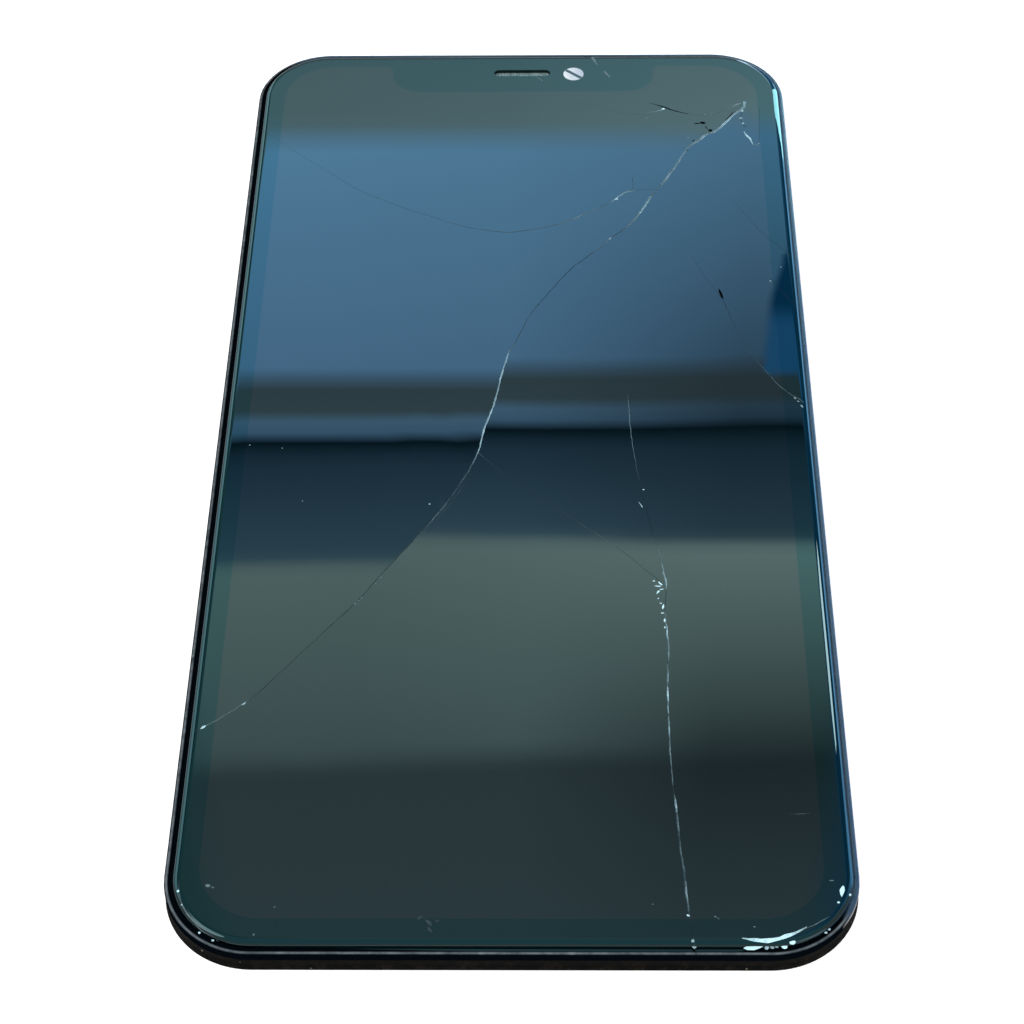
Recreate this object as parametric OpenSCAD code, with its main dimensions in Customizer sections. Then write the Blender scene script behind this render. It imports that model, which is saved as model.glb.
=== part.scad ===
// Cracked screen module of a notched phone, lying on its back with the glass up.
// +X points to the right-hand edge, +Y to the notch, +Z out of the glass.
// The origin is the bottom centre: the middle of the seal strip's foot.

/* [Module] */
// Width across the bezel frame
module_w = 69.4; // [69:0.1:74]
// Length along the bezel frame
module_l = 142.2; // [141.6:0.1:150]
// Height from the seal strip's foot to the top of the glass
module_h = 3.06; // [3:0.02:3.4]
// Outer corner radius of the bezel frame
corner_r = 9.3; // [8.5:0.1:10.5]

/* [Cover glass] */
// Thickness of the glass
glass_t = 0.6; // [0.55:0.01:0.65]
// Distance from the frame's outer edge to the edge of the glass
glass_inset = 0.95; // [0.85:0.01:1.1]
// The same distance along the right-hand side, where the glass sits nearer the frame's lip
glass_inset_right = 0.65; // [0.6:0.01:1.1]
// Width of the rounded rim of the glass
rim_run = 0.8; // [0.5:0.05:1]
// Drop of the rounded rim of the glass
rim_drop = 0.34; // [0.2:0.02:0.4]
// Width of the open cracks
crack_gap = 0.05; // [0.03:0.01:0.12]
// Length of the earpiece slot
slot_l = 7.5; // [6:0.1:8]
// Height of the earpiece slot
slot_h = 1.3; // [1:0.1:1.4]
// Diameter of the clear camera window, which is also the bore of its seat
window_d = 2.7; // [2.5:0.1:3]

/* [Display layers] */
// Thickness of the clear adhesive
adhesive_t = 0.12; // [0.1:0.01:0.14]
// Thickness of the polarizer
polarizer_t = 0.1; // [0.08:0.01:0.12]
// Thickness of the touch sensor
sensor_t = 0.1; // [0.08:0.01:0.12]
// Thickness of the display panel
panel_t = 0.24; // [0.2:0.01:0.26]
// Thickness of the foam behind the panel
foam_t = 0.16; // [0.12:0.01:0.2]
// Thickness of the copper heat spreader
spreader_t = 0.08; // [0.05:0.01:0.1]
// Thickness of the steel back plate
plate_t = 0.25; // [0.2:0.01:0.3]
// Width of the cut-out in the layers for the sensor bay
bay_w = 34.8; // [33:0.1:36]
// Depth of the cut-out in the layers for the sensor bay
bay_d = 5; // [4.6:0.1:5.4]

/* [Bezel frame] */
// Height of the outer flange
flange_h = 0.91; // [0.8:0.01:1]
// Height of the lip above the underside of the glass
lip_rise = 0.1; // [0.05:0.01:0.15]
// Width of the lip beside the glass
lip_w = 0.46; // [0.45:0.01:0.7]
// Edge radius of the lip
lip_r = 0.22; // [0.1:0.01:0.3]
// Thickness of the glue under the glass
glue_t = 0.1; // [0.08:0.01:0.12]
// Distance from the outer edge to the inside of the glass ledge
ledge_w = 2.9; // [2.7:0.05:3]

/* [Flex cables] */
// Thickness of the flex cables
flex_t = 0.1; // [0.08:0.01:0.12]
// Width of the display cable where it leaves the panel
display_flex_w = 26; // [22:1:28]
// Width of the touch cable where it leaves the sensor
touch_flex_w = 10; // [8:1:11]
// Height of the board connectors
connector_h = 0.7; // [0.5:0.05:0.8]

/* [Standoffs] */
// Outer diameter of a bracket standoff
standoff_d = 3.2; // [3:0.1:3.6]
// Diameter of a standoff's screw hole
standoff_bore = 1.4; // [1.2:0.1:1.6]
// Height of a standoff below the back plate
standoff_h = 1; // [0.8:0.05:1.1]

/* [Hidden] */
$fn = 64;

// Heights, worked out from the top of the glass down
glass_z = module_h - glass_t;
adhesive_z = glass_z - adhesive_t;
polarizer_z = adhesive_z - polarizer_t;
sensor_z = polarizer_z - sensor_t;
panel_z = sensor_z - panel_t;
foam_z = panel_z - foam_t;
spreader_z = foam_z - spreader_t;
plate_z = spreader_z - plate_t;
lip_z = glass_z + lip_rise;
ledge_z = glass_z - glue_t;
flange_z = lip_z - flange_h;
leg_z = plate_z - flex_t;

// The cover glass
glass_w = module_w - glass_inset - glass_inset_right;
glass_x = (glass_inset - glass_inset_right) / 2;
glass_l = module_l - 2 * glass_inset;
glass_r = corner_r - glass_inset;
slot_at = [0.2, 66.4];
window_at = [7.05, 66.15];

// Cracks from the point of impact by the upper right corner, as points on the glass
IMPACT = [29.4, 60.3];
MAIN_CRACK = [
    IMPACT, [27, 56], [24.4, 53.5], [22, 51], [20, 47], [17.3, 42.1], [13.4, 35.2], [6.3, 27.2], [1.4, 19.1],
    [-1.1, 12.4], [-2.7, 3.8], [-4.4, -3.8], [-9, -13.8], [-17.1, -26.2], [-28, -40.1], [-36, -46.5],
];
ARC_CRACK = [
    [17.3, 42.1], [14.3, 42.2], [12.3, 40.7], [5.4, 36.3], [1.5, 34.8], [-2.3, 34.4], [-7, 35.5],
    [-15.6, 39.6], [-24.2, 45.8], [-36, 57],
];
BRANCH_CRACK = [[-4.4, -3.8], [3.5, -11.5], [12, -19.1], [16.1, -23.9]];
LONG_CRACK = [
    [13, 5.7], [13.3, 0], [14.4, -9.5], [16.1, -23.9], [16.5, -33.4], [16.3, -47.7],
    [17.3, -62], [18.2, -73],
];
SIDE_CRACK = [[21.6, 29.6], [24.9, 21.9], [28.3, 11.5], [31.1, 6.7], [36, 0.4]];
SHORT_CRACKS = [
    [IMPACT, [29.3, 57.7], [29.4, 53.3], [30.2, 51.6]],
    [[17.2, 59.8], [19.2, 58.8], [21.1, 57.9]],
    [[27.4, 39.8], [32.4, 31.5], [36, 26]],
    [[30.9, 25.8], [36, 17]],
];

// The display layers: one outline, with a cut-out for the sensor bay
layer_gap = 0.2;
layer_w = module_w - 2 * (ledge_w + layer_gap);
layer_l = module_l - 2 * (ledge_w + layer_gap);
layer_r = corner_r - ledge_w - layer_gap;
bay_y = layer_l / 2 - bay_d;
bay_r = 3.6;
bay_reach = 10;
terminal_w = 0.7;

// How far each layer stops short of the outline
film_short = 0.1;
sensor_short = 0.05;
foam_short = 0.3;

// The frame's inner lines, as distances from its outer edge
skirt_out = 0.75;
skirt_in = 1.5;
skirt_foot = 0.25;
seal_proud = 0.63;
glue_in = 0.1;

// Reliefs in the ledge for the sensor bay and the cables' bends
bay_relief = [33, 1.3];
flex_relief = 1.1;
flex_room = 0.5;

// Parts of the sensor bay, hung from the underside of the glass
mesh_t = 0.1;
mesh_margin = 0.25;
mesh_rise = 0.17;
mesh_side = 0.08;
mesh_hole_d = 0.2;
mesh_pitch = [0.4, 0.36];
mesh_reach = [8, 1];
gasket_wall = 0.4;
gasket_h = 0.5;
seat_wall = 0.55;
seat_h = 0.95;
seat_floor = 0.25;
film_t = 0.06;
film_slit = 0.3;
film_slit_turn = -40;
light_lens_at = [-8, 66.2];
light_lens_d = 1.6;
range_lens_at = [-13, 66.2];
range_lens = [2.6, 1.4];
lens_t = 0.3;

// The cables: where each leaves the bottom edge and how it runs up the back
display_flex_x = 9;
touch_flex_x = -17;
bend_y = -(layer_l / 2 + 0.65);
bond_w = 0.6;
display_run = [-54, -34, -28];
display_neck = 8;
display_head = 14;
touch_run = [-60, -40, -35];
touch_neck = 5;
touch_head = 11;
stiffener_t = 0.15;
stiffener_r = 0.6;
plug_room = 0.4;
display_plug = [9.6, 2.4];
touch_plug = [6.8, 2.2];
driver_size = [14, 1.4, 0.35];
driver_y = -64;
touch_chip_size = [4, 4, 0.5];
touch_chip_y = -66;
tape_size = [24, 4.5, 0.06];
tape_back = 1;

// The back plate's opening at the sensor bay: narrower and deeper than the layers' cut-out
plate_bay_narrower = 1;
plate_bay_deeper = 1.2;

// Fixings on the back plate
STANDOFFS = [[-22, 55], [0, 57], [22, 55]];
flange_d = 4.4;
flange_t = 0.25;
clip_l = 8;
clip_t = 0.2;
clip_foot = 1.6;
clip_h = 1;
CLIP_Y = [-42, 0, 42];
HOOK_X = [-20, 20];
PADS = [[-14, 14], [16, -4], [-2, -18]];
pad_size = [9, 5, 0.6];
pad_r = 1;

// A rounded rectangle about the origin
module rounded(w, l, r) {
    square([w - 2 * r, l], center = true);
    square([w, l - 2 * r], center = true);
    for (x = [-1, 1], y = [-1, 1])
        translate([x * (w / 2 - r), y * (l / 2 - r)])
            circle(r);
}

// A 2D profile carried round a rounded rectangle: x is 0 on the outline and less inside it
module ring(w, l, r) {
    for (q = [0:3]) {
        a = q % 2 == 0 ? w / 2 : l / 2;
        b = q % 2 == 0 ? l / 2 : w / 2;
        rotate([0, 0, 90 * q]) {
            translate([a, 0, 0])
                rotate([90, 0, 0])
                    linear_extrude(2 * (b - r), center = true)
                        children();
            translate([a - r, b - r, 0])
                rotate_extrude(angle = 90)
                    translate([r, 0])
                        children();
        }
    }
}

// Unit vector across a crack at its point i
function across(p, i) =
    let (d = p[min(i + 1, len(p) - 1)] - p[max(i - 1, 0)])
    [-d[1], d[0]] / norm(d);

// Outline of a crack of an even width
function crack_outline(p, w) = concat(
    [for (i = [0:len(p) - 1]) p[i] + across(p, i) * w / 2],
    [for (i = [len(p) - 1:-1:0]) p[i] - across(p, i) * w / 2]
);

module cracks() {
    for (p = concat([MAIN_CRACK, ARC_CRACK, BRANCH_CRACK, LONG_CRACK, SIDE_CRACK], SHORT_CRACKS))
        translate([0, 0, glass_z - 1])
            linear_extrude(glass_t + 2)
                polygon(crack_outline(p, crack_gap));
}

// A round-ended slot about the origin
module slot_shape(l, h) {
    square([l - h, h], center = true);
    for (x = [-1, 1])
        translate([x * (l - h) / 2, 0])
            circle(h / 2);
}

module cover_glass() {
    color([0.16, 0.26, 0.28])
        difference() {
            translate([glass_x, 0, 0]) {
                translate([0, 0, glass_z])
                    linear_extrude(glass_t)
                        rounded(glass_w - 2 * rim_run, glass_l - 2 * rim_run, glass_r - rim_run);
                ring(glass_w, glass_l, glass_r)
                    polygon(concat(
                        [[-rim_run, glass_z], [0, glass_z]],
                        [for (a = [90:-15:0])
                            [rim_run * (sin(a) - 1), module_h - rim_drop * (1 - cos(a))]]
                    ));
            }
            cracks();
            translate([slot_at[0], slot_at[1], glass_z - 1])
                linear_extrude(glass_t + 2)
                    slot_shape(slot_l, slot_h);
        }
}

// Outline of the display layers, cut for the sensor bay. shrink draws every edge in,
// and short takes that much off the bottom edge.
module layer_outline(shrink = 0, short = 0) {
    difference() {
        rounded(layer_w - 2 * shrink, layer_l - 2 * shrink, layer_r - shrink);
        translate([0, bay_y - shrink + bay_reach])
            rounded(bay_w + 2 * shrink, 2 * bay_reach, bay_r);
        if (short > 0)
            translate([0, -layer_l / 2])
                square([layer_w, 2 * short], center = true);
    }
}

module layer(z, t, shrink = 0, short = 0) {
    translate([0, 0, z])
        linear_extrude(t)
            layer_outline(shrink, short);
}

module optical_adhesive() {
    color([0.7, 0.75, 0.75])
        layer(adhesive_z, adhesive_t, film_short, terminal_w);
}

module polarizer() {
    color([0.13, 0.15, 0.17])
        layer(polarizer_z, polarizer_t, film_short, terminal_w);
}

// The touch sensor has a tab at its bottom edge, where its cable is bonded
module touch_sensor() {
    color([0.2, 0.24, 0.25])
        union() {
            layer(sensor_z, sensor_t, sensor_short, terminal_w);
            translate([touch_flex_x, -layer_l / 2 + terminal_w, sensor_z + sensor_t / 2])
                cube([touch_flex_w, 2 * terminal_w, sensor_t], center = true);
        }
}

module display_panel() {
    color([0.08, 0.09, 0.1])
        layer(panel_z, panel_t);
}

module panel_foam() {
    color([0.12, 0.12, 0.12])
        layer(foam_z, foam_t, foam_short);
}

module heat_spreader() {
    color([0.72, 0.45, 0.3])
        layer(spreader_z, spreader_t, foam_short);
}

// Boxes taken out of a part for the two cable bends
module flex_reliefs(z, h) {
    for (f = [[display_flex_x, display_flex_w], [touch_flex_x, touch_flex_w]])
        translate([f[0] - f[1] / 2 - flex_room, -layer_l / 2 - layer_gap - flex_relief, z])
            cube([f[1] + 2 * flex_room, flex_relief + layer_gap + 0.1, h]);
}

// Box taken out of the ledge behind the sensor bay
module bay_reliefs(z, h) {
    translate([-bay_relief[0] / 2, layer_l / 2, z])
        cube([bay_relief[0], bay_relief[1] + layer_gap, h]);
}

module back_plate() {
    color([0.62, 0.63, 0.65])
        difference() {
            translate([0, 0, plate_z])
                linear_extrude(plate_t)
                    rounded(module_w - 2 * skirt_in, module_l - 2 * skirt_in, corner_r - skirt_in);
            translate([0, 0, plate_z - 1])
                linear_extrude(plate_t + 2)
                    translate([0, bay_y - plate_bay_deeper + bay_reach])
                        rounded(bay_w - plate_bay_narrower, 2 * bay_reach, bay_r);
            flex_reliefs(plate_z - 1, plate_t + 2);
        }
}

module bezel_frame() {
    color([0.06, 0.07, 0.08])
        difference() {
            ring(module_w, module_l, corner_r)
                polygon(concat(
                    [[-skirt_out, flange_z], [0, flange_z]],
                    [for (a = [0:30:90])
                        [-lip_r * (1 - cos(a)), lip_z - lip_r * (1 - sin(a))]],
                    [
                        [-lip_w, lip_z], [-lip_w, ledge_z], [-ledge_w, ledge_z],
                        [-ledge_w, spreader_z], [-skirt_in, spreader_z],
                        [-skirt_in, skirt_foot], [-skirt_out, skirt_foot],
                    ]
                ));
            flex_reliefs(spreader_z - 1, 3);
            bay_reliefs(spreader_z - 1, 3);
        }
}

module frame_glue() {
    color([0.1, 0.1, 0.11])
        difference() {
            ring(module_w, module_l, corner_r)
                translate([-ledge_w + glue_in, ledge_z])
                    square([ledge_w - glass_inset - 2 * glue_in, glue_t]);
            flex_reliefs(spreader_z - 1, 3);
            bay_reliefs(spreader_z - 1, 3);
        }
}

module seal_strip() {
    color([0.14, 0.11, 0.1])
        ring(module_w, module_l, corner_r)
            translate([-skirt_out, 0])
                square([seal_proud, flange_z]);
}

module earpiece_mesh() {
    mesh_l = slot_l + 2 * mesh_margin;
    mesh_h = slot_h + 2 * mesh_margin;
    color([0.34, 0.4, 0.41])
        translate([slot_at[0], slot_at[1], glass_z - mesh_t])
            difference() {
                union() {
                    linear_extrude(mesh_t)
                        slot_shape(mesh_l, mesh_h);
                    linear_extrude(mesh_t + mesh_rise)
                        slot_shape(slot_l - 2 * mesh_side, slot_h - 2 * mesh_side);
                }
                for (i = [-mesh_reach[0]:mesh_reach[0]], j = [-mesh_reach[1]:mesh_reach[1]])
                    translate([mesh_pitch[0] * i, mesh_pitch[1] * j, -1])
                        cylinder(d = mesh_hole_d, h = 2, $fn = 16);
            }
}

module mesh_gasket() {
    outer_l = slot_l + 2 * (mesh_margin + gasket_wall);
    outer_h = slot_h + 2 * (mesh_margin + gasket_wall);
    color([0.09, 0.09, 0.1])
        translate([slot_at[0], slot_at[1], glass_z - gasket_h])
            difference() {
                linear_extrude(gasket_h)
                    slot_shape(outer_l, outer_h);
                translate([0, 0, gasket_h - mesh_t])
                    linear_extrude(1)
                        slot_shape(slot_l + 2 * mesh_margin, slot_h + 2 * mesh_margin);
                translate([0, 0, -1])
                    linear_extrude(2)
                        slot_shape(slot_l, slot_h);
            }
}

module camera_seat() {
    color([0.07, 0.07, 0.08])
        translate([window_at[0], window_at[1], glass_z - seat_h])
            difference() {
                cylinder(d = window_d + 2 * seat_wall, h = seat_h);
                translate([0, 0, seat_floor])
                    cylinder(d = window_d, h = seat_h);
            }
}

// A thin white film behind the window, split by one narrow slit
module camera_film() {
    color([0.86, 0.91, 0.93])
        translate([window_at[0], window_at[1], glass_z - film_t])
            difference() {
                cylinder(d = window_d, h = film_t);
                rotate([0, 0, film_slit_turn])
                    cube([2 * window_d, film_slit, 1], center = true);
            }
}

module sensor_lenses() {
    color([0.12, 0.14, 0.16])
        union() {
            translate([light_lens_at[0], light_lens_at[1], glass_z - lens_t])
                cylinder(d = light_lens_d, h = lens_t);
            translate([range_lens_at[0], range_lens_at[1], glass_z - lens_t])
                linear_extrude(lens_t)
                    slot_shape(range_lens[0], range_lens[1]);
        }
}

module standoffs() {
    color([0.7, 0.66, 0.55])
        for (p = STANDOFFS)
            translate([p[0], p[1], plate_z - standoff_h])
                difference() {
                    union() {
                        cylinder(d = standoff_d, h = standoff_h);
                        translate([0, 0, standoff_h - flange_t])
                            cylinder(d = flange_d, h = flange_t);
                    }
                    translate([0, 0, -1])
                        cylinder(d = standoff_bore, h = standoff_h + 2);
                }
}

// A bent sheet-metal clip that stands on the back plate, its back against +X
module clip() {
    translate([-clip_t, -clip_l / 2, plate_z - clip_h])
        cube([clip_t, clip_l, clip_h]);
    translate([-clip_foot, -clip_l / 2, plate_z - clip_t])
        cube([clip_foot, clip_l, clip_t]);
}

module side_clips() {
    color([0.66, 0.67, 0.7])
        for (y = CLIP_Y, s = [0, 1])
            rotate([0, 0, 180 * s])
                translate([module_w / 2 - skirt_in, y, 0])
                    clip();
}

module top_hooks() {
    color([0.66, 0.67, 0.7])
        for (x = HOOK_X)
            translate([x, module_l / 2 - skirt_in, 0])
                rotate([0, 0, 90])
                    clip();
}

// A cable bonded at top_z, bent round the bottom edge and run up the back in three widths
module wrapped_flex(x, w, top_z, run, neck, head) {
    bend_h = top_z + flex_t - leg_z;
    translate([x, 0, 0]) {
        translate([-w / 2, bend_y, top_z])
            cube([w, -bend_y - layer_l / 2 + bond_w, flex_t]);
        translate([0, bend_y, leg_z + bend_h / 2])
            rotate([90, 0, 90])
                linear_extrude(w, center = true)
                    difference() {
                        circle(d = bend_h);
                        circle(d = bend_h - 2 * flex_t);
                        translate([0, -bend_h])
                            square(2 * bend_h);
                    }
        translate([-w / 2, bend_y, leg_z])
            cube([w, run[0] - bend_y, flex_t]);
        translate([-neck / 2, run[0], leg_z])
            cube([neck, run[1] - run[0], flex_t]);
        translate([-head / 2, run[1], leg_z])
            cube([head, run[2] - run[1], flex_t]);
    }
}

module display_flex() {
    color([0.62, 0.4, 0.16])
        wrapped_flex(display_flex_x, display_flex_w, sensor_z, display_run, display_neck, display_head);
}

module touch_flex() {
    color([0.66, 0.44, 0.18])
        wrapped_flex(touch_flex_x, touch_flex_w, polarizer_z, touch_run, touch_neck, touch_head);
}

// A plate round a connector, bonded on the cable's head
module stiffener(x, run, head, plug) {
    translate([x, (run[1] + run[2]) / 2, leg_z - stiffener_t])
        linear_extrude(stiffener_t)
            difference() {
                rounded(head, run[2] - run[1], stiffener_r);
                square([plug[0] + plug_room, plug[1] + plug_room], center = true);
            }
}

// A board connector: a rim with a tongue down its middle
module connector(x, run, plug) {
    wall = 0.35;
    floor_t = 0.2;
    tongue = 0.6;
    translate([x, (run[1] + run[2]) / 2, leg_z - connector_h])
        difference() {
            linear_extrude(connector_h)
                square(plug, center = true);
            translate([0, 0, -1])
                linear_extrude(connector_h - floor_t + 1)
                    difference() {
                        square([plug[0] - 2 * wall, plug[1] - 2 * wall], center = true);
                        square([plug[0] - 4 * wall, tongue], center = true);
                    }
        }
}

module display_stiffener() {
    color([0.7, 0.7, 0.68])
        stiffener(display_flex_x, display_run, display_head, display_plug);
}

module touch_stiffener() {
    color([0.7, 0.7, 0.68])
        stiffener(touch_flex_x, touch_run, touch_head, touch_plug);
}

module display_connector() {
    color([0.1, 0.1, 0.1])
        connector(display_flex_x, display_run, display_plug);
}

module touch_connector() {
    color([0.1, 0.1, 0.1])
        connector(touch_flex_x, touch_run, touch_plug);
}

module driver_chip() {
    color([0.2, 0.21, 0.23])
        translate([display_flex_x - driver_size[0] / 2, driver_y, leg_z - driver_size[2]])
            cube(driver_size);
}

module touch_chip() {
    color([0.13, 0.13, 0.14])
        translate([touch_flex_x - touch_chip_size[0] / 2, touch_chip_y, leg_z - touch_chip_size[2]])
            cube(touch_chip_size);
}

module flex_tape() {
    color([0.08, 0.08, 0.08])
        translate([
            display_flex_x - tape_size[0] / 2,
            display_run[0] - tape_back - tape_size[1],
            leg_z - tape_size[2],
        ])
            cube(tape_size);
}

module ground_pads() {
    color([0.45, 0.44, 0.42])
        for (p = PADS)
            translate([p[0], p[1], plate_z - pad_size[2]])
                linear_extrude(pad_size[2])
                    rounded(pad_size[0], pad_size[1], pad_r);
}

cover_glass();
optical_adhesive();
polarizer();
touch_sensor();
display_panel();
panel_foam();
heat_spreader();
back_plate();
bezel_frame();
frame_glue();
seal_strip();
earpiece_mesh();
mesh_gasket();
camera_seat();
camera_film();
sensor_lenses();
standoffs();
side_clips();
top_hooks();
display_flex();
driver_chip();
display_connector();
display_stiffener();
touch_flex();
touch_chip();
touch_connector();
touch_stiffener();
flex_tape();
ground_pads();
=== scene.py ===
"""Looks of the cracked phone screen module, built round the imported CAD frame.

Sizes are in millimetres in the frame's own axes, and MM turns them into metres where a mesh or an
object is made. +X is the right-hand edge, +Y the notched end and +Z points out of the glass.
"""

import math
import random

import bpy
import numpy as np
from mathutils import Matrix, Vector
from mathutils.geometry import delaunay_2d_cdt


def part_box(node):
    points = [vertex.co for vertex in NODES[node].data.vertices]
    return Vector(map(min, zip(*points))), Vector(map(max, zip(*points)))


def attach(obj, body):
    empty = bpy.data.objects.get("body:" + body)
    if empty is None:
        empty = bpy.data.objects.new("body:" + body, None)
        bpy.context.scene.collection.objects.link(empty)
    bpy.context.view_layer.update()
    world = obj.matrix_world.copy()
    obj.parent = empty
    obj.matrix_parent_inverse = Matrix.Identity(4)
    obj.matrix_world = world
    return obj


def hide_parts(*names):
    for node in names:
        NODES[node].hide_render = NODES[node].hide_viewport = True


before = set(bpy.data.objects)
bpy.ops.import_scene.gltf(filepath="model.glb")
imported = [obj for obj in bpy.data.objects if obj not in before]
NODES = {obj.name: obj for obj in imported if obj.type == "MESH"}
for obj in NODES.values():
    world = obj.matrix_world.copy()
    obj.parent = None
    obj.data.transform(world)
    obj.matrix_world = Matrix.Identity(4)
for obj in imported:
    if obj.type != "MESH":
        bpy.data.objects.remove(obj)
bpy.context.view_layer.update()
bpy.context.scene.view_settings.view_transform = "Standard"

MM = 0.001


def box_mm(node):
    """Lowest and highest corner of a CAD node in millimetres."""
    lo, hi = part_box(node)
    return lo / MM, hi / MM


def opening(node, margin=0.0):
    """Half width, half height and centre of an opening in the glass, from the node behind it."""
    lo, hi = box_mm(node)
    centre = (lo + hi) / 2
    return (hi.x - lo.x) / 2 - margin, (hi.y - lo.y) / 2 - margin, centre.x, centre.y


GLASS_LO, GLASS_HI = box_mm("cover_glass")
GLASS_MID_X = (GLASS_LO.x + GLASS_HI.x) / 2
GLASS_HALF_W = (GLASS_HI.x - GLASS_LO.x) / 2
BEZEL_HI = box_mm("bezel_frame")[1]
SEAL_LO, SEAL_HI = box_mm("seal_strip")
SLOT_W, SLOT_H, SLOT_X, SLOT_Y = opening("earpiece_mesh", 0.25)
WINDOW_R, _, WINDOW_X, WINDOW_Y = opening("camera_film")


def add_object(name, data):
    made = bpy.data.objects.new(name, data)
    bpy.context.scene.collection.objects.link(made)
    return made


def new_mesh(name, points, faces, *materials):
    """A mesh through points in metres."""
    mesh = bpy.data.meshes.new(name)
    mesh.from_pydata(points, [], faces)
    for material in materials:
        mesh.materials.append(material)
    return mesh


def in_metres(points):
    return [tuple(c * MM for c in p) for p in points]


# ---- camera

AIM = (-0.38, -13.12, 3.06)
DISTANCE = 285.6
HEADING = math.radians(-1.345)
ELEVATION = math.radians(47.56)
ROLL = math.radians(-1.05)
LENS = 89.2
SENSOR = 36


def make_camera():
    level = Vector((math.sin(HEADING), math.cos(HEADING), 0))
    forward = level * math.cos(ELEVATION) - Vector((0, 0, math.sin(ELEVATION)))
    side = Vector((math.cos(HEADING), -math.sin(HEADING), 0))
    right = side * math.cos(ROLL) + side.cross(forward) * math.sin(ROLL)
    turned = Matrix((right, right.cross(forward), -forward)).transposed().to_4x4()
    data = bpy.data.cameras.new("camera")
    data.lens = LENS
    data.sensor_width = SENSOR
    data.clip_start = 0.01
    data.clip_end = 20
    camera = add_object("camera", data)
    camera.matrix_world = Matrix.Translation((Vector(AIM) - forward * DISTANCE) * MM) @ turned
    bpy.context.scene.camera = camera


make_camera()

# ---- material building


class Nodes:
    """A material, and short calls for the nodes in it."""

    def __init__(self, name):
        self.material = bpy.data.materials.new(name)
        self.material.use_nodes = True
        self.tree = self.material.node_tree

    def feed(self, socket, value):
        """Links a socket to another one, or sets its value."""
        if isinstance(value, bpy.types.NodeSocket):
            self.tree.links.new(value, socket)
        else:
            socket.default_value = value

    def node(self, kind, **inputs):
        made = self.tree.nodes.new("ShaderNode" + kind)
        for name, value in inputs.items():
            self.feed(made.inputs[name.replace("_", " ")], value)
        return made

    def span(self, source, low, high, start=0.0, end=1.0, curve="LINEAR"):
        """Maps source from low..high to start..end, clamped."""
        made = self.node("MapRange")
        made.interpolation_type = curve
        names = ["Value", "From Min", "From Max", "To Min", "To Max"]
        for name, value in zip(names, [source, low, high, start, end]):
            self.feed(made.inputs[name], value)
        return made.outputs["Result"]

    def maths(self, operation, *values):
        made = self.node("Math")
        made.operation = operation
        for socket, value in zip(made.inputs, values):
            self.feed(socket, value)
        return made.outputs[0]

    def times(self, first, *others):
        """All the values multiplied together."""
        for other in others:
            first = self.maths("MULTIPLY", first, other)
        return first

    def blend(self, factor, a, b):
        """Colour a where factor is 0 and b where it is 1. Each is a colour or a socket."""
        made = self.node("Mix")
        made.data_type = "RGBA"
        self.feed(made.inputs["Factor"], factor)
        for name, value in (("A", a), ("B", b)):
            socket = next(s for s in made.inputs if s.name == name and s.type == "RGBA")
            self.feed(socket, value if isinstance(value, bpy.types.NodeSocket) else (*value, 1))
        return next(s for s in made.outputs if s.type == "RGBA")

    def split(self, vector):
        return self.node("SeparateXYZ", Vector=vector).outputs


class Skin(Nodes):
    """A material with a Principled shader. Its coordinates are the frame's own, in millimetres."""

    def __init__(self, name, color, roughness, metallic=0.0, specular=0.5):
        super().__init__(name)
        self.shader = self.tree.nodes["Principled BSDF"]
        self.put("Base Color", (*color, 1))
        self.put("Roughness", roughness)
        self.put("Metallic", metallic)
        self.put("IOR", 1.5)
        self.put("Specular IOR Level", specular)
        self.relief = None

    def put(self, socket, value):
        self.feed(self.shader.inputs[socket], value)

    def color(self, factor, a, b):
        self.put("Base Color", self.blend(factor, a, b))

    def roughness(self, *span):
        self.put("Roughness", self.span(*span))

    def bump(self, height, depth, strength=1.0):
        """Adds relief of this depth in millimetres."""
        made = self.node("Bump", Height=height, Distance=depth * MM, Strength=strength)
        if self.relief is not None:
            self.feed(made.inputs["Normal"], self.relief)
        self.relief = made.outputs["Normal"]
        self.put("Normal", self.relief)

    def place(self, stretch=(1, 1, 1), turn=0.0):
        """Position in the frame in millimetres, stretched and turned about Z."""
        spot = self.node("TexCoord").outputs["Object"]
        scale = tuple(s / MM for s in stretch)
        return self.node("Mapping", Vector=spot, Scale=scale, Rotation=(0, 0, turn)).outputs["Vector"]

    def noise(self, size, detail=3.0, stretch=(1, 1, 1), turn=0.0, roughness=0.5):
        """Noise with features of about this size in millimetres, from 0 to 1."""
        spot = self.place(stretch, turn)
        made = self.node("TexNoise", Vector=spot, Scale=1 / size, Detail=detail, Roughness=roughness)
        return made.outputs["Fac"]

    def cells(self, size):
        """Distance to the nearest of scattered points about this far apart."""
        return self.node("TexVoronoi", Vector=self.place(), Scale=1 / size).outputs["Distance"]

    def stripes(self, pitch, axis="X", turn=0.0):
        made = self.node("TexWave", Vector=self.place((1, 1, 1), turn), Scale=1 / pitch)
        made.bands_direction = axis
        return made.outputs["Fac"]

    def from_edge(self, place, half_w, half_l, radius):
        """Distance inside a rounded rectangle's outline in millimetres, near that outline."""
        over = []
        for axis, limit in (("X", half_w - radius), ("Y", half_l - radius)):
            beyond = self.maths("SUBTRACT", self.maths("ABSOLUTE", place[axis]), limit)
            over.append(self.maths("POWER", self.maths("MAXIMUM", beyond, 0.0), 2.0))
        return self.maths("SUBTRACT", radius, self.maths("SQRT", self.maths("ADD", *over)))


class Glow(Nodes):
    """A material of plain shaders for the stage."""

    def __init__(self, name):
        super().__init__(name)
        self.tree.nodes.clear()

    def finish(self, shader):
        self.node("OutputMaterial", Surface=shader.outputs[0])
        return self.material


# ---- outlines


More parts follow.
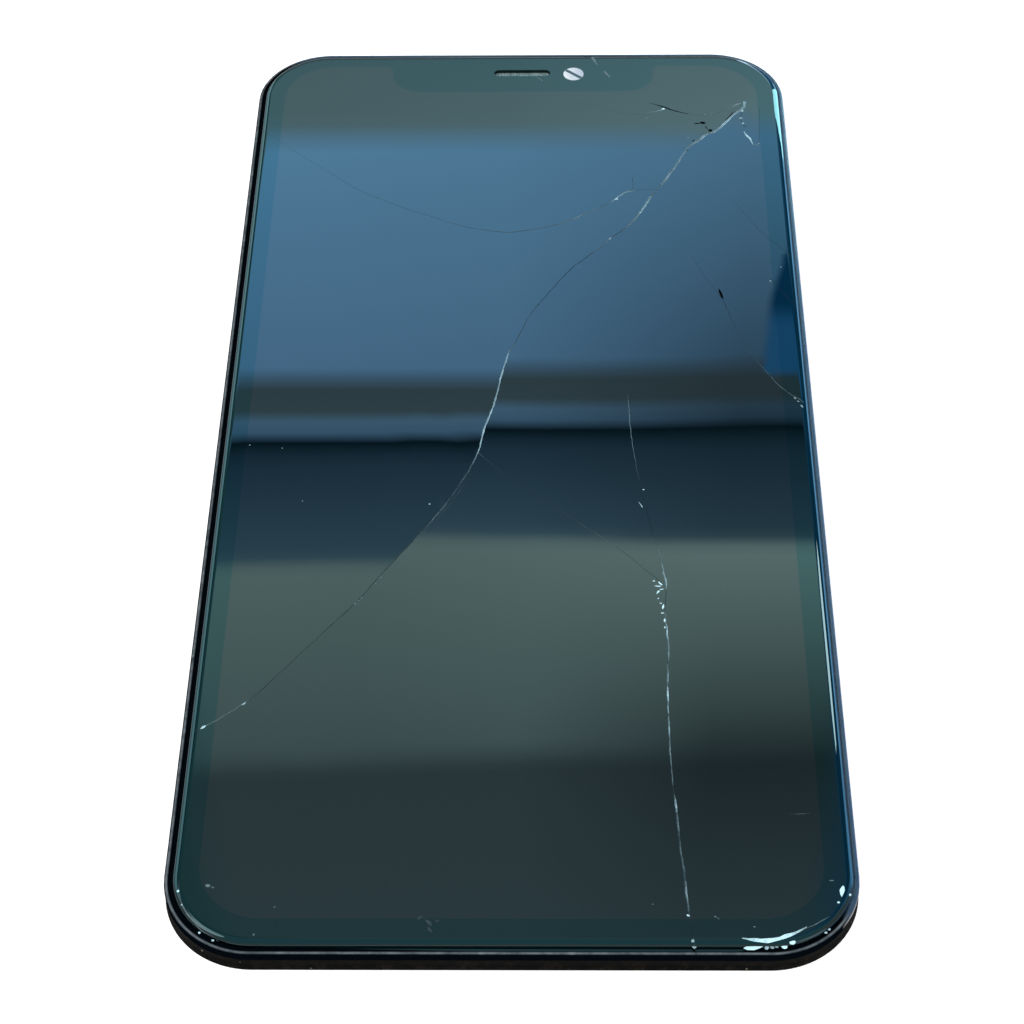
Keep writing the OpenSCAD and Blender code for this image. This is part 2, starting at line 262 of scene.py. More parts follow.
def fillet(corners, steps=16, spacing=2.0):
    """A closed outline through (x, y, radius) corners, with arcs at the corners and points every
    spacing along the straights."""
    arcs = []
    for i, (x, y, radius) in enumerate(corners):
        corner = Vector((x, y))
        back = (Vector(corners[i - 1][:2]) - corner).normalized()
        ahead = (Vector(corners[(i + 1) % len(corners)][:2]) - corner).normalized()
        half = back.angle(ahead) / 2
        centre = corner + (back + ahead).normalized() * (radius / math.sin(half))
        first = corner + back * (radius / math.tan(half)) - centre
        last = corner + ahead * (radius / math.tan(half)) - centre
        start = math.atan2(first.y, first.x)
        turn = (math.atan2(last.y, last.x) - start + math.pi) % (2 * math.pi) - math.pi
        angles = [start + turn * k / steps for k in range(steps + 1)]
        arcs.append([centre + Vector((math.cos(a), math.sin(a))) * radius for a in angles])
    points = []
    for i, arc in enumerate(arcs):
        points += arc
        here, there = arc[-1], arcs[(i + 1) % len(arcs)][0]
        count = int((there - here).length / spacing)
        points += [here.lerp(there, k / (count + 1)) for k in range(1, count + 1)]
    return points


def box_corners(half_w, half_l, radius, x=0.0, y=0.0):
    signs = ((-1, -1), (1, -1), (1, 1), (-1, 1))
    return [(x + half_w * sx, y + half_l * sy, radius) for sx, sy in signs]


# ---- the glass and its damage

CORNER_R = 8.35
BEZEL_R = CORNER_R + BEZEL_HI.y - GLASS_HI.y
RIM_RUN = 0.8
RIM_DROP = 0.34
ACTIVE = {"half_w": 31.2, "bottom": -67.23, "top": 67.87, "radius": 6.5}
NOTCH = {"x": 0.3, "half_w": 17.4, "depth": 5.4, "mouth_r": 1.0, "floor_r": 3.7}
WINDOW_SLIT = 0.48
WINDOW_SLIT_REACH = 0.98
WINDOW_SLIT_TURN = math.radians(-40)

# Cracks: how much each breaks into brighter and darker dashes (painted glints), how deep its groove is,
# and points along it from the point of impact outwards: (x, y, width and whiteness in hundredths). The
# whiteness is partly crushed glass and partly painted glints.
CRACKS = {
    "main": (0.5, 0.09, [
        (29.6, 60.2, 26, 55), (29.3, 58.8, 30, 60), (28.1, 57.6, 34, 60), (27.0, 56.0, 36, 64),
        (25.3, 53.9, 32, 60), (24.4, 53.55, 30, 50), (23.0, 52.0, 32, 50), (22.0, 51.1, 28, 40),
        (21.0, 49.2, 26, 36), (20.0, 47.0, 26, 40), (19.3, 45.65, 30, 50), (18.6, 44.3, 30, 50),
        (17.8, 42.85, 18, 25), (17.2, 41.95, 14, 20), (16.5, 40.7, 26, 45), (15.3, 38.1, 28, 45),
        (13.8, 35.6, 18, 35), (12.4, 34.1, 8, 8), (11.4, 33.1, 15, 40), (10.5, 31.8, 12, 35),
        (8.4, 29.6, 7, 5), (6.3, 27.2, 7, 5), (3.0, 21.9, 9, 8), (1.4, 19.1, 8, 15),
        (0.1, 15.3, 10, 15), (-0.9, 12.9, 10, 30), (-1.2, 12.0, 15, 75), (-1.9, 8.6, 17, 85),
        (-2.7, 3.8, 17, 90), (-3.7, 0.0, 18, 90), (-4.3, -3.4, 16, 80), (-5.2, -6.2, 13, 22),
        (-7.2, -10.6, 12, 20), (-9.0, -13.8, 14, 25), (-11.8, -18.1, 10, 12), (-14.7, -22.4, 7, 6),
        (-17.1, -26.2, 8, 12), (-22.3, -32.9, 6, 8), (-27.0, -39.0, 8, 10), (-28.4, -40.4, 10, 35),
        (-31.0, -42.6, 10, 40), (-32.0, -43.3, 10, 30), (-33.2, -44.2, 8, 10),
    ]),
    # A faint painted double of the main crack, standing for its image on the panel below the glass.
    "main_second_line": (0.3, 0.03, [
        (-4.6, -5.8, 5, 5), (-6.3, -9.8, 7, 10), (-8.3, -13.5, 7, 12), (-9.9, -16.4, 5, 5),
    ]),
    "arc": (0.5, 0.05, [
        (17.3, 42.5, 4, 16), (15.3, 42.4, 4, 16), (14.25, 42.2, 16, 60), (13.3, 41.8, 16, 60),
        (12.3, 40.75, 20, 70), (11.2, 39.7, 10, 20), (9.6, 38.6, 12, 35), (8.0, 37.6, 14, 45),
        (6.4, 36.6, 12, 35), (4.4, 35.6, 12, 30), (1.5, 34.8, 11, 28), (-0.6, 34.4, 9, 20),
        (-2.3, 34.4, 8, 20), (-7.0, 35.5, 6, 16), (-11.8, 37.7, 5, 14), (-15.6, 39.6, 5, 13),
        (-20.4, 42.5, 4, 13), (-24.2, 45.8, 3, 13), (-29.0, 50.1, 3, 13), (-33.6, 54.6, 3, 13),
    ]),
    "arc_spur": (0.3, 0.03, [
        (14.5, 45.3, 3, 12), (14.45, 44.2, 5, 6), (14.55, 43.2, 5, 6), (14.3, 42.4, 4, 10),
    ]),
    "branch": (0.4, 0.03, [
        (-4.4, -3.8, 6, 12), (-1.8, -6.7, 5, 6), (3.5, -11.5, 5, 5), (8.2, -15.7, 6, 12),
        (9.6, -16.9, 7, 16), (12.0, -19.1, 6, 10), (16.0, -23.5, 5, 5),
    ]),
    "long_upper": (0.15, 0.05, [
        (13.0, 5.7, 3, 10), (13.1, 3.6, 8, 30), (13.2, 0.4, 8, 30), (13.4, -2.6, 7, 22),
        (13.8, -6.4, 6, 12), (14.3, -9.5, 4, 3), (15.3, -16.0, 4, 2), (15.9, -18.8, 8, 20),
        (16.2, -20.6, 9, 25), (16.4, -22.2, 16, 35), (16.6, -23.6, 17, 40), (16.6, -24.6, 12, 30),
    ]),
    "long_lower": (0.9, 0.05, [
        (16.6, -24.6, 6, 5), (16.4, -28.4, 8, 30), (16.5, -30.4, 15, 90), (16.6, -33.4, 14, 80),
        (16.5, -34.6, 7, 20), (16.4, -36.4, 14, 90), (16.3, -41.0, 14, 85), (16.3, -42.0, 8, 20),
        (16.3, -43.0, 15, 80), (16.3, -45.0, 10, 40), (16.3, -46.2, 12, 60), (16.4, -49.2, 10, 50),
        (16.5, -51.6, 12, 20), (16.7, -53.4, 18, 60), (16.8, -55.6, 18, 40), (17.0, -59.6, 16, 22),
        (17.2, -61.2, 20, 30), (17.5, -66.3, 18, 30), (17.6, -67.4, 5, 8), (17.9, -69.6, 6, 20),
        (18.1, -71.0, 6, 10),
    ]),
    "side": (0.2, 0.04, [
        (21.6, 29.6, 3, 6), (23.0, 25.8, 4, 5), (24.9, 21.9, 5, 2), (26.4, 16.2, 4, 5),
        (28.3, 11.5, 5, 8), (29.6, 9.2, 6, 12), (31.1, 6.7, 7, 16), (33.6, 4.2, 7, 20),
    ]),
    "edge_upper": (0.2, 0.04, [
        (27.4, 39.8, 3, 6), (29.4, 35.7, 4, 4), (32.4, 31.5, 5, 3), (33.7, 29.9, 5, 5),
    ]),
    "edge_lower": (0.2, 0.03, [(30.9, 25.8, 5, 2), (32.9, 22.0, 5, 3), (33.7, 20.8, 4, 2)]),
    "impact_down": (0.4, 0.04, [
        (29.3, 58.6, 6, 8), (28.85, 56.7, 6, 6), (29.05, 55.6, 6, 4), (29.5, 54.8, 6, 2),
    ]),
    "impact_sliver": (0.1, 0.05, [
        (29.15, 54.0, 10, 45), (29.45, 53.1, 24, 80), (29.85, 52.5, 20, 80), (30.05, 51.7, 10, 60),
        (30.2, 51.2, 5, 40),
    ]),
    "impact_bit": (0.2, 0.03, [(30.4, 51.3, 7, 20), (30.8, 51.4, 11, 35), (31.1, 51.6, 7, 20)]),
    "impact_parallel": (0.3, 0.03, [(29.5, 60.1, 10, 30), (28.4, 59.5, 20, 36), (27.4, 58.7, 10, 20)]),
    "impact_dark": (0.0, 0.05, [
        (28.3, 58.1, 5, 0), (27.95, 57.75, 24, 0), (27.4, 57.0, 30, 0), (27.0, 56.45, 16, 0),
        (26.8, 56.1, 5, 0),
    ]),
    "impact_faint": (0.5, 0.02, [
        (21.2, 58.0, 4, 6), (23.05, 57.35, 5, 12), (25.15, 57.5, 5, 14), (26.9, 58.5, 4, 10),
    ]),
    "impact_upright": (0.5, 0.02, [(31.4, 58.6, 4, 5), (31.25, 56.3, 4, 8), (31.0, 51.7, 4, 5)]),
    "top_dark": (0.0, 0.05, [
        (17.05, 60.0, 5, 0), (17.9, 59.55, 14, 0), (18.7, 59.2, 20, 0), (19.75, 58.55, 18, 0),
        (21.0, 57.95, 12, 0), (22.2, 57.6, 4, 0),
    ]),
    "top_tail": (0.2, 0.03, [(16.65, 57.9, 5, 20), (17.85, 58.2, 7, 30), (18.7, 58.5, 10, 60)]),
    "top_faint": (0.3, 0.02, [
        (8.6, 59.8, 3, 9), (12.2, 58.25, 3, 10), (15.1, 57.65, 4, 10), (17.0, 57.55, 3, 9),
    ]),
    # Chips along the near right rim, whose whiteness is mostly a painted highlight of a lamp on the
    # chipped rim.
    "near_rim_chips_and_glint": (0.1, 0.06, [
        (22.6, -69.4, 8, 60), (23.8, -69.6, 30, 90), (25.1, -69.65, 46, 110), (26.3, -69.4, 44, 110),
        (27.4, -69.0, 32, 90), (28.2, -68.6, 18, 70), (29.0, -68.1, 8, 50),
    ]),
    "near_right_line": (0.4, 0.03, [(31.3, -66.9, 5, 30), (30.2, -67.6, 8, 45), (28.8, -68.35, 5, 30)]),
    "near_left_line": (0.5, 0.02, [
        (-33.1, -62.6, 5, 5), (-32.8, -64.6, 9, 20), (-31.9, -66.6, 10, 25), (-30.4, -68.4, 9, 20),
        (-28.6, -69.5, 5, 5),
    ]),
    "near_scuff": (0.4, 0.01, [(28.2, -54.6, 5, 4), (29.2, -54.6, 12, 10), (30.2, -54.55, 5, 4)]),
    "scratch_a": (0.3, 0.02, [(9.5, 69.9, 30, 20), (9.8, 69.1, 38, 24), (10.2, 68.2, 22, 16)]),
    "scratch_b": (0.3, 0.02, [(11.1, 66.8, 22, 15), (11.5, 66.1, 38, 24), (11.9, 65.4, 20, 14)]),
    "scratch_c": (0.3, 0.02, [(2.05, 65.6, 16, 12), (2.5, 65.1, 30, 18), (2.95, 64.6, 16, 12)]),
    "long_dash": (0.0, 0.03, [(13.9, -11.6, 8, 50), (14.3, -12.4, 10, 60)]),
}

# Painted shade: how bright the far flank of a crack's groove is against its near flank
FAR_FLANK_SHADE = 0.5
FAR_FLANK_SHADES = {"near_rim_chips_and_glint": 0.95}

# Flakes lifted at the surface: short strokes (x, y, length, width, direction, whiteness), with
# directions in degrees and lengths, widths and whiteness in hundredths
FLAKES = [
    (15.3, -23.4, 32, 26, 0, 75), (15.7, -24.15, 95, 22, -8, 85), (16.0, -23.8, 90, 24, -52, 90),
    (15.7, -25.0, 75, 26, 58, 95), (16.1, -24.6, 55, 20, 8, 80), (15.7, -25.9, 30, 24, -30, 50),
    (15.95, -26.6, 36, 24, -15, 60), (16.2, -27.1, 80, 30, 80, 95), (16.1, -28.0, 42, 20, 0, 75),
    (16.3, -29.0, 60, 24, 88, 90), (16.3, -30.0, 34, 20, 88, 75), (14.5, -9.7, 26, 24, 0, 70),
    (12.35, 40.6, 46, 28, 20, 80), (15.25, 38.0, 36, 24, 60, 40), (11.4, 33.1, 34, 24, 40, 40),
    (18.8, 58.7, 55, 34, 5, 95), (-32.4, -43.6, 80, 34, 40, 80), (-28.4, -40.5, 60, 20, 42, 50),
    (17.45, -66.8, 40, 28, -20, 80), (-9.7, -11.9, 30, 26, 30, 35), (29.15, 58.2, 62, 42, 75, 40),
    (28.9, 56.7, 50, 40, 20, 34), (29.1, 55.65, 50, 38, 60, 36), (24.2, 57.5, 18, 16, 0, 30),
    (25.15, 57.6, 20, 14, 0, 30), (25.8, 57.65, 16, 14, 0, 30), (16.55, 56.75, 18, 16, 0, 35),
    (21.85, 52.75, 20, 18, 0, 30),
    # crushed edge at the near right; its whitest flakes are painted highlights of a lamp on the chipped
    # rim
    (32.8, -63.85, 170, 60, 80, 120), (33.5, -64.25, 38, 34, 0, 80), (32.3, -65.25, 36, 34, 0, 90),
    (31.2, -68.15, 34, 30, 30, 70), (30.85, -68.55, 34, 30, 0, 70), (23.7, -70.2, 210, 80, 8, 120),
    (25.0, -70.25, 50, 50, -50, 50), (25.5, -70.2, 50, 40, -50, 40), (25.95, -70.15, 40, 30, -50, 35),
    (26.7, -70.1, 72, 66, 0, 120), (27.45, -69.75, 74, 68, 20, 120), (17.8, -69.7, 42, 34, 60, 45),
    (17.95, -70.2, 46, 40, 0, 40),
    # bits by the near left corner
    (-33.0, -64.0, 34, 32, 0, 90), (-32.5, -65.6, 24, 22, 0, 50), (-30.5, -68.65, 30, 26, 0, 80),
    (-29.1, -69.55, 34, 26, 0, 60),
    # crumbs where the side crack meets the right-hand edge, and two specks above it
    (32.6, 4.9, 50, 20, -50, 35), (32.95, 4.4, 40, 18, -40, 30), (33.3, 3.6, 60, 20, -60, 40),
    (30.9, 25.2, 34, 26, 0, 30), (32.35, 27.75, 26, 24, 0, 35),
    # dust and smudges
    (-30.1, -63.4, 60, 52, 0, 16), (-29.6, -63.6, 40, 30, 0, 10), (-23.3, -65.9, 36, 30, 0, 8),
    (-8.9, -67.1, 90, 40, 35, 4.5), (-8.0, -67.7, 110, 46, -48, 5.5), (-7.2, -67.5, 60, 36, 20, 4),
    (-7.9, -68.5, 90, 36, -50, 4.5), (31.8, -62.7, 60, 18, 0, 16), (20.1, -66.95, 36, 20, -30, 14),
    (20.4, -67.15, 30, 18, -30, 12), (14.0, -65.5, 26, 22, 0, 10), (23.9, -68.1, 30, 22, 0, 14),
    (-25.1, -69.1, 34, 20, 90, 16), (-30.8, -2.6, 22, 20, 0, 30), (-27.0, -3.1, 20, 18, 0, 25),
    (-24.1, -11.4, 20, 18, 0, 25),
    # pale grains along the lower part of the main crack
    (-14.7, -22.85, 16, 14, 0, 35), (-15.25, -23.8, 14, 14, 0, 30), (-16.7, -25.85, 18, 14, 0, 35),
    (-17.05, -26.25, 14, 12, 0, 30), (-17.35, -26.65, 18, 14, 0, 40),
]

# Pits where a chip has come out, in the same units: (x, y, length, width, direction)
PITS = [
    (24.8, 54.2, 62, 52, 30), (23.9, 55.75, 85, 50, -12), (23.1, 55.65, 95, 22, 3),
    (24.3, 54.8, 95, 14, -65), (24.75, 22.9, 210, 34, -78), (21.55, 50.25, 100, 30, 61),
    (22.5, 52.1, 60, 20, 50),
]

GRID = 2.5
CRACK_STEP = 0.55
CRACK_WANDER = 0.035
CHIP_SIDES = 10
FLAKE_SIDES = 8
RIM_STEPS = 24


def crack_points(name):
    """The points of a crack with their width in millimetres and their whiteness from 0 to 1."""
    return np.array([(x, y, w / 100, t / 100) for x, y, w, t in CRACKS[name][2]])


def spline(rows, step):
    """Points every step along a smooth curve through rows of numbers that start with x and y."""
    padded = np.vstack([2 * rows[0] - rows[1], rows, 2 * rows[-1] - rows[-2]])
    out = []
    for i in range(1, len(padded) - 2):
        p0, p1, p2, p3 = padded[i - 1 : i + 3]
        count = max(1, round(float(np.hypot(*(p2 - p1)[:2])) / step))
        for k in range(count):
            t = k / count
            curve = 2 * p1 + (p2 - p0) * t + (2 * p0 - 5 * p1 + 4 * p2 - p3) * t * t
            curve = 0.5 * (curve + (3 * p1 - p0 - 3 * p2 + p3) * t**3)
            curve[2:] = p1[2:] + (p2[2:] - p1[2:]) * t
            out.append(curve)
    return np.array([*out, rows[-1]])


def crack_course(name, rng):
    """The crack as fine points (x, y, width, whiteness) that wander a little, and the direction
    across it at each."""
    course = spline(crack_points(name), CRACK_STEP)
    along = np.gradient(course[:, :2], axis=0)
    across = np.stack([-along[:, 1], along[:, 0]], 1) / np.hypot(*along.T)[:, None]
    wander = np.array([rng.uniform(-1, 1) for _ in course]) * CRACK_WANDER
    wander[[0, -1]] = 0
    course[:, :2] += across * wander[:, None]
    course[:, 2] *= [rng.uniform(0.75, 1.25) for _ in course]
    # Painted glints: the whiteness is broken into brighter and darker dashes along the crack.
    sparkle = CRACKS[name][0]
    course[:, 3] *= [1 - sparkle * rng.random() ** 0.7 for _ in course]
    return course, across


def nearest_on(course, x, y):
    """Distance from each point to a fine course, with the side (1 to the left) and the place."""
    a, b = course[:-1, :2], course[1:, :2]
    run = b - a
    length = (run**2).sum(1)
    best = np.full(len(x), 1e9)
    side = np.zeros(len(x))
    place = np.zeros(len(x))
    for i in range(len(run)):
        dx, dy = x - a[i, 0], y - a[i, 1]
        t = np.clip((dx * run[i, 0] + dy * run[i, 1]) / length[i], 0, 1)
        gap = np.hypot(dx - t * run[i, 0], dy - t * run[i, 1])
        closer = gap < best
        best[closer] = gap[closer]
        side[closer] = np.sign(run[i, 0] * dy - run[i, 1] * dx)[closer]
        place[closer] = (i + t)[closer]
    return best, side, place


# How far the broken sheet stands up along its cracks: (crack, lift at even steps from start to
# end). The lift fades over RIDGE_REACH to both sides, and over RIDGE_FADE towards the glass's edge.
RIDGES = [
    ("main", (0.02, 0.006, 0.003, 0.004, 0.004, 0.004, 0.004)),
    ("side", (0.0, 0.003, 0.003)),
]
RIDGE_REACH = 4.0
RIDGE_FADE = 6


def glass_inside(x, y):
    """How far inside the outline of the glass each point lies."""
    qx = np.abs(x - GLASS_MID_X) - (GLASS_HALF_W - CORNER_R)
    qy = np.abs(y) - (GLASS_HI.y - CORNER_R)
    outside = np.hypot(np.maximum(qx, 0), np.maximum(qy, 0))
    return CORNER_R - outside - np.minimum(np.maximum(qx, qy), 0)


def ease(value, start, end):
    """0 before start, 1 after end, and smooth between them."""
    t = np.clip((value - start) / (end - start), 0, 1)
    return t * t * (3 - 2 * t)


def lift_at(x, y):
    """Height that the ridges along the cracks add at each point."""
    total = np.zeros(len(x))
    for name, lifts in RIDGES:
        course = crack_points(name)
        gap, _, place = nearest_on(course, x, y)
        lift = np.interp(place, np.linspace(0, len(course) - 1, len(lifts)), lifts)
        total += lift * np.exp(-gap / RIDGE_REACH)
    return total * ease(glass_inside(x, y), 0, RIDGE_FADE)


def surface_height(x, y):
    """Height of the whole sheet's top face, without its grooves."""
    rim = np.clip(1 - glass_inside(x, y) / RIM_RUN, 0, 1)
    return GLASS_HI.z - RIM_DROP * (1 - np.sqrt(1 - rim * rim)) + lift_at(x, y)


def fragment_slopes(x, y):
    """How far the broken pieces lean towards +Y beyond the ridges, as slopes. The piece above and
    left of the main crack sags at its lower end. The rest leans the other way."""
    _, side, _ = nearest_on(crack_points("main"), x, y)
    upper = (0.00006 * x - 0.0021) * ease(-y, 0, 18)
    upper += 0.0007 * ease(x, -24, -6) * ease(-y, -5, -1) * ease(y, -14, -6)
    lower = 0.0024 + 0.00009 * x * ease(-y, 17, 47) - 0.0011 * ease(x, 2, 18) * ease(-y, 8, 16)
    lower += 0.0008 * ease(x, 8, 33) * ease(y, -12, -4)
    lower += 0.0006 * ease(-y, -9, -5) * ease(y, -11, -2)
    return np.where(side > 0, lower, upper)


def surface_normals(x, y):
    step = 0.02
    dx = (surface_height(x + step, y) - surface_height(x - step, y)) / (2 * step)
    dy = (surface_height(x, y + step) - surface_height(x, y - step)) / (2 * step)
    dy = dy + fragment_slopes(x, y)
    normals = np.stack([-dx, -dy, np.ones(len(x))], 1)
    return normals / np.linalg.norm(normals, axis=1)[:, None]


class Drawing:
    """A flat drawing of loops and faces that is cut into triangles in one go."""

    def __init__(self):
        self.points, self.edges, self.faces, self.kinds, self.tones = [], [], [], [], []

    def loop(self, outline):
        """Adds a closed line."""
        first = len(self.points)
        self.points += [Vector(p[:2]) for p in outline]
        count = len(outline)
        self.edges += [(first + i, first + (i + 1) % count) for i in range(count)]
        return list(range(first, first + count))

    def face(self, outline, kind, tone=0.0):
        """Adds a filled outline of a kind."""
        area = sum(a[0] * b[1] - b[0] * a[1] for a, b in zip(outline, [*outline[1:], outline[0]]))
        if area < 0:
            outline = outline[::-1]
        self.faces.append(self.loop(outline))
        self.kinds.append(kind)
        self.tones.append(tone)


def triangulate(points, edges, faces):
    """Points, triangles, and what each point and triangle was drawn as."""
    points, _, triangles, drawn, _, owners = delaunay_2d_cdt(points, edges, faces, 0, 1e-5, True)
    return points, triangles, drawn, owners


def lens_outline(x, y, length, width, turn, rng, sides):
    """A pointed, slightly ragged chip outline. Length and width are in hundredths of a millimetre
    and turn is in degrees."""
    c, s = math.cos(math.radians(turn)), math.sin(math.radians(turn))
    out = []
    for k in range(sides):
        a = 2 * math.pi * k / sides
        ragged = rng.uniform(0.8, 1.15)
        u = length / 200 * math.cos(a) * ragged
        v = width / 200 * math.sin(a) * abs(math.sin(a)) ** 0.3 * ragged
        out.append((x + u * c - v * s, y + u * s + v * c))
    return out


def active_outline():
    half_w, bottom, top, radius = ACTIVE.values()
    right = NOTCH["x"] + NOTCH["half_w"]
    left = NOTCH["x"] - NOTCH["half_w"]
    floor = top - NOTCH["depth"]
    return fillet([
        (-half_w, bottom, radius), (half_w, bottom, radius), (half_w, top, radius),
        (right, top, NOTCH["mouth_r"]), (right, floor, NOTCH["floor_r"]),
        (left, floor, NOTCH["floor_r"]), (left, top, NOTCH["mouth_r"]), (-half_w, top, radius),
    ])


def draw_panes(drawing):
    """The outline of the glass with its rounded rim, and the areas seen through it."""
    outer = box_corners(GLASS_HALF_W, GLASS_HI.y, CORNER_R, GLASS_MID_X)
    drawing.face(fillet(outer, RIM_STEPS), "border")
    for angle in range(10, 100, 10):
        inset = RIM_RUN * (1 - math.sin(math.radians(90 - angle)))
        inner = box_corners(GLASS_HALF_W - inset, GLASS_HI.y - inset, CORNER_R - inset, GLASS_MID_X)
        drawing.loop(fillet(inner, RIM_STEPS))
    drawing.face(active_outline(), "active")
    slot = box_corners(SLOT_W, SLOT_H, SLOT_H - 0.001, SLOT_X, SLOT_Y)
    drawing.face(fillet(slot, 10, 0.8), "slot")
    x, y, radius = WINDOW_X, WINDOW_Y, WINDOW_R
    turned = [2 * math.pi * k / 40 for k in range(40)]
    drawing.face([(x + radius * math.cos(a), y + radius * math.sin(a)) for a in turned], "window")
    c, s = math.cos(WINDOW_SLIT_TURN), math.sin(WINDOW_SLIT_TURN)
    slit = [
        (x + u * radius * c - v * WINDOW_SLIT / 2 * s, y + u * radius * s + v * WINDOW_SLIT / 2 * c)
        for u, v, _ in box_corners(WINDOW_SLIT_REACH, 1, 0)
    ]
    drawing.face(slit, "slit")


def draw_glass(rng):
    """The drawing of the glass, and each crack's course with the depth of its groove."""
    drawing = Drawing()
    draw_panes(drawing)
    courses = []
    for name, (_, depth, _) in CRACKS.items():
        course, across = crack_course(name, rng)
        courses.append((course, depth))
        half = course[:, 2:3] / 2
        middle = course[:, :2]
        flanks = [(middle, middle + across * half, 1.0)]
        # The far flank's whiteness is scaled down as painted shade.
        flanks.append((middle - across * half, middle, FAR_FLANK_SHADES.get(name, FAR_FLANK_SHADE)))
        for i in range(len(course) - 1):
            tone = float(course[i, 3] + course[i + 1, 3]) / 2
            for near, far, share in flanks:
                corners = (near[i], near[i + 1], far[i + 1], far[i])
                drawing.face([tuple(p) for p in corners], "crack", tone * share)
    for pit in PITS:
        drawing.face(lens_outline(*pit, rng, CHIP_SIDES), "crack", 0.0)
    for x in np.arange(GLASS_LO.x + GRID, GLASS_HI.x - RIM_RUN, GRID):
        for y in np.arange(-GLASS_HI.y + GRID, GLASS_HI.y - RIM_RUN, GRID):
            if glass_inside(np.array([x]), np.array([y]))[0] > 1:
                drawing.points.append(Vector((x, y)))
    return drawing, courses


def groove_depth(x, y, courses):
    """How deep the grooves of the cracks are at each point."""
    depth = np.zeros(len(x))
    for course, deepest in courses:
        gap, _, place = nearest_on(course, x, y)
        half = np.interp(place, range(len(course)), course[:, 2]) / 2
        groove = np.minimum(deepest, half) * np.clip(1 - gap / half, 0, 1)
        depth = np.maximum(depth, groove)
    return depth


KIND_ORDER = ["border", "active", "window", "slit", "crack"]


def build_glass(materials):
    drawing, courses = draw_glass(random.Random(7))
    flat, triangles, _, owners = triangulate(drawing.points, drawing.edges, drawing.faces)
    x = np.array([p.x for p in flat])
    y = np.array([p.y for p in flat])
    height = surface_height(x, y) - groove_depth(x, y, courses)
    kept, kinds, tones = [], [], []
    for triangle, held_by in zip(triangles, owners):
        names = {drawing.kinds[i] for i in held_by}
        if names and "slot" not in names:
            here = [drawing.tones[i] for i in held_by if drawing.kinds[i] == "crack"]
            kept.append(tuple(triangle))
            kinds.append(max(names, key=KIND_ORDER.index))
            tones.append(max(here, default=0.0))
    # walls down from each open edge, and a plain underside
    edges = {edge: True for a, b, c in kept for edge in ((a, b), (b, c), (c, a))}
    rims = [edge for edge in edges if edge[::-1] not in edges]
    around = sorted({v for edge in rims for v in edge})
    below = {v: len(flat) + i for i, v in enumerate(around)}
    walls = [(b, a, below[a], below[b]) for a, b in rims]
    back_edges = [(around.index(a), around.index(b)) for a, b in rims]
    back, back_faces, drawn, _ = triangulate([flat[v] for v in around], back_edges, [])
    backs = []
    for face in back_faces:
        middle = sum((back[i] for i in face), Vector((0, 0))) / 3
        reach = max(abs(middle.x - SLOT_X) - (SLOT_W - SLOT_H), 0)
        if math.hypot(reach, middle.y - SLOT_Y) > SLOT_H:
            backs.append(tuple(below[around[drawn[i][0]]] for i in reversed(face)))
    points = [*zip(x, y, height)] + [(flat[v].x, flat[v].y, GLASS_LO.z) for v in around]
    skins = [materials[kind] for kind in KIND_ORDER]
    mesh = new_mesh("cracked_glass", in_metres(points), kept + walls + backs, *skins)
    plain = [0] * (len(walls) + len(backs))
    set_tones(mesh, tones + plain)
    mesh.polygons.foreach_set("material_index", [KIND_ORDER.index(kind) for kind in kinds] + plain)
    smooth_glass(mesh, len(kept), kinds)
    return add_object("cracked_glass", mesh)


def set_tones(mesh, tones):
    mesh.attributes.new("tone", "FLOAT", "FACE").data.foreach_set("value", tones)


def smooth_glass(mesh, top_count, kinds):
    """Gives each broken piece's top face its true normals, so that it reflects as a smooth sheet.
    Each corner is judged a hair inside its own face, so pieces that meet at a crack keep apart."""
    mesh.polygons.foreach_set("use_smooth", [True] * len(mesh.polygons))
    spots, corners, wanted = [], [], []
    for polygon in mesh.polygons:
        whole = polygon.index < top_count and kinds[polygon.index] != "crack"
        for vertex in polygon.vertices:
            if whole:
                spot = mesh.vertices[vertex].co.lerp(polygon.center, 0.02)
                spots.append((spot.x / MM, spot.y / MM))
                corners.append(len(wanted))
            wanted.append(tuple(polygon.normal))
    x, y = np.array(spots).T
    for corner, normal in zip(corners, surface_normals(x, y)):
        wanted[corner] = tuple(normal)
    mesh.normals_split_custom_set(wanted)


FLAKE_SINK = 0.02
FLAKE_SHOULDER = 0.75
FLAKE_TIP = 0.035


def build_flakes(rng, material):
    """Thin ragged flakes just above the glass, each a low faceted cap."""
    points, faces, tones = [], [], []
    count = FLAKE_SIDES
    for x, y, length, width, turn, tone in FLAKES:
        outline = lens_outline(x, y, length, width, turn, rng, count)
        ground = float(surface_height(np.array([x]), np.array([y]))[0])
        foot = len(points)
        ring = foot + count
        tip = ring + count
        points += [(px, py, ground - FLAKE_SINK) for px, py in outline]
        for px, py in outline:
            qx, qy = x + (px - x) * FLAKE_SHOULDER, y + (py - y) * FLAKE_SHOULDER
            points.append((qx, qy, ground + rng.uniform(0.005, 0.03)))
        shift_x, shift_y = rng.uniform(-0.05, 0.05), rng.uniform(-0.05, 0.05)
        points.append((x + shift_x, y + shift_y, ground + FLAKE_TIP))
        pairs = [(i, (i + 1) % count) for i in range(count)]
        faces += [(foot + i, foot + j, ring + j, ring + i) for i, j in pairs]
        faces += [(ring + i, ring + j, tip) for i, j in pairs]
        faces.append(tuple(foot + i for i in reversed(range(count))))
        tones += [tone / 100] * (2 * count + 1)
    mesh = new_mesh("glass_flakes", in_metres(points), faces, material)
    set_tones(mesh, tones)
    return add_object("glass_flakes", mesh)


# ---- materials of the glass


def grey(value):
    return (value, value, value)


